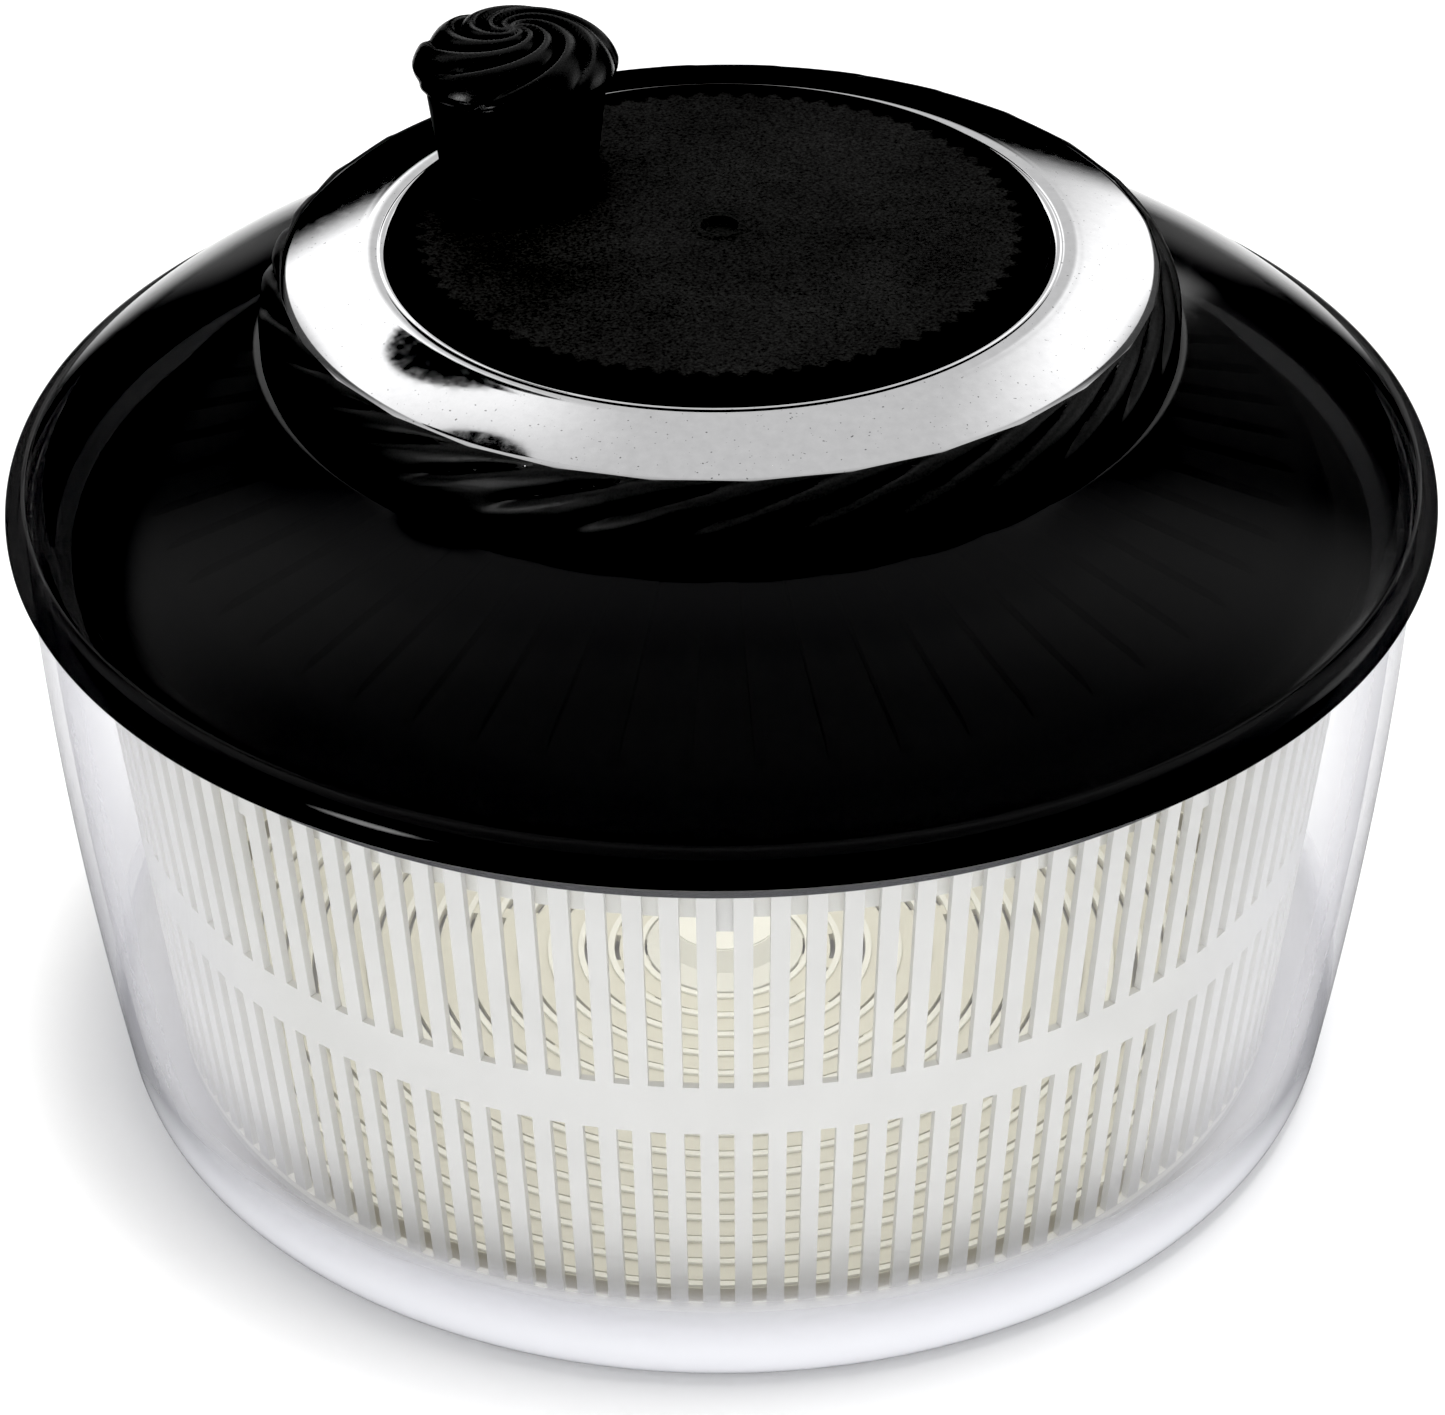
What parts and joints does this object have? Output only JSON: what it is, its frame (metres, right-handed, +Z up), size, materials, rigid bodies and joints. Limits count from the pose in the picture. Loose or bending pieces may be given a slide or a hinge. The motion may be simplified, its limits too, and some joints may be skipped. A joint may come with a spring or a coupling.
{
  "type": "salad spinner",
  "caption": "Crank salad spinner: clear bowl, slotted basket, and a smoked lid with a fluted collar and a geared crank disc with an off-centre knob.",
  "frame": {"origin": "centre of the bowl's base, on the surface that it stands on", "axes": "+Z up along the common spin axis of basket and crank; at rest the knob lies towards -X and a little towards +Y"},
  "size_m": [0.262, 0.262, 0.1986],
  "materials": {
    "clear_bowl": "clear, polished",
    "white_basket": "slightly milky, satin gloss",
    "smoked_lid": "smoked, polished",
    "black_grip": "satin, fine texture",
    "chrome_trim": "mirror plated",
    "housing_black": "moulded",
    "bush_ivory": "moulded, self-lubricating",
    "gear_ivory": "moulded, self-lubricating",
    "steel_hardware": "plated",
    "drive_white": "moulded",
    "disc_smoke": "fine speckled texture",
    "knob_black": "satin"
  },
  "bodies": {
    "bowl": {"serving_bowl": "clear_bowl"},
    "basket": {"basket": "white_basket"},
    "lid": {"lid_dome": "smoked_lid", "gear_housing": "housing_black", "lid_bushing": "bush_ivory", "gear_cover": "housing_black", "cover_screws": "steel_hardware", "collar_screws": "steel_hardware", "grip_collar": "black_grip", "chrome_ring": "chrome_trim", "idler_pin_a": "steel_hardware", "idler_pin_b": "steel_hardware", "idler_pin_c": "steel_hardware"},
    "crank": {"crank_disc": "disc_smoke", "ring_gear": "gear_ivory", "ring_gear_screws": "steel_hardware", "crank_washer": "steel_hardware", "crank_screw": "steel_hardware", "knob_spindle": "steel_hardware", "knob_nut": "steel_hardware", "knob_washer": "steel_hardware", "knob_screw": "steel_hardware"},
    "knob": {"knob_sleeve": "knob_black", "knob_cap": "knob_black"},
    "idler_a": {"idler_gear_a": "gear_ivory"},
    "idler_b": {"idler_gear_b": "gear_ivory"},
    "idler_c": {"idler_gear_c": "gear_ivory"},
    "drive": {"sun_gear": "gear_ivory", "drive_plate": "drive_white", "plate_washer": "steel_hardware", "plate_screw": "steel_hardware"}
  },
  "joints": [
    {"name": "basket_spin", "type": "hinge", "parent": "bowl", "child": "basket", "pos_m": [0, 0, 0.01], "axis": [0, 0, 1], "continuous": true},
    {"name": "lid_lift", "type": "slide", "parent": "bowl", "child": "lid", "axis": [0, 0, 1], "range_m": [0, 0.13]},
    {"name": "crank_spin", "type": "hinge", "parent": "lid", "child": "crank", "pos_m": [0, 0, 0.159], "axis": [0, 0, 1], "continuous": true},
    {"name": "knob_spin", "type": "hinge", "parent": "crank", "child": "knob", "pos_m": [-0.0363, 0.02012, 0.176], "axis": [0, 0, 1], "continuous": true},
    {"name": "drive_spin", "type": "hinge", "parent": "lid", "child": "drive", "pos_m": [0, 0, 0.144], "axis": [0, 0, 1], "continuous": true},
    {"name": "idler_a_spin", "type": "hinge", "parent": "lid", "child": "idler_a", "pos_m": [0, 0.036, 0.152], "axis": [0, 0, 1], "continuous": true},
    {"name": "idler_b_spin", "type": "hinge", "parent": "lid", "child": "idler_b", "pos_m": [-0.03118, -0.018, 0.152], "axis": [0, 0, 1], "continuous": true},
    {"name": "idler_c_spin", "type": "hinge", "parent": "lid", "child": "idler_c", "pos_m": [0.03118, -0.018, 0.152], "axis": [0, 0, 1], "continuous": true}
  ],
  "couplings": [
    {"joint": "crank_spin", "follows": "basket_spin", "ratio": -0.33333},
    {"joint": "drive_spin", "follows": "basket_spin", "ratio": 1},
    {"joint": "idler_a_spin", "follows": "basket_spin", "ratio": -1},
    {"joint": "idler_b_spin", "follows": "basket_spin", "ratio": -1},
    {"joint": "idler_c_spin", "follows": "basket_spin", "ratio": -1}
  ]
}
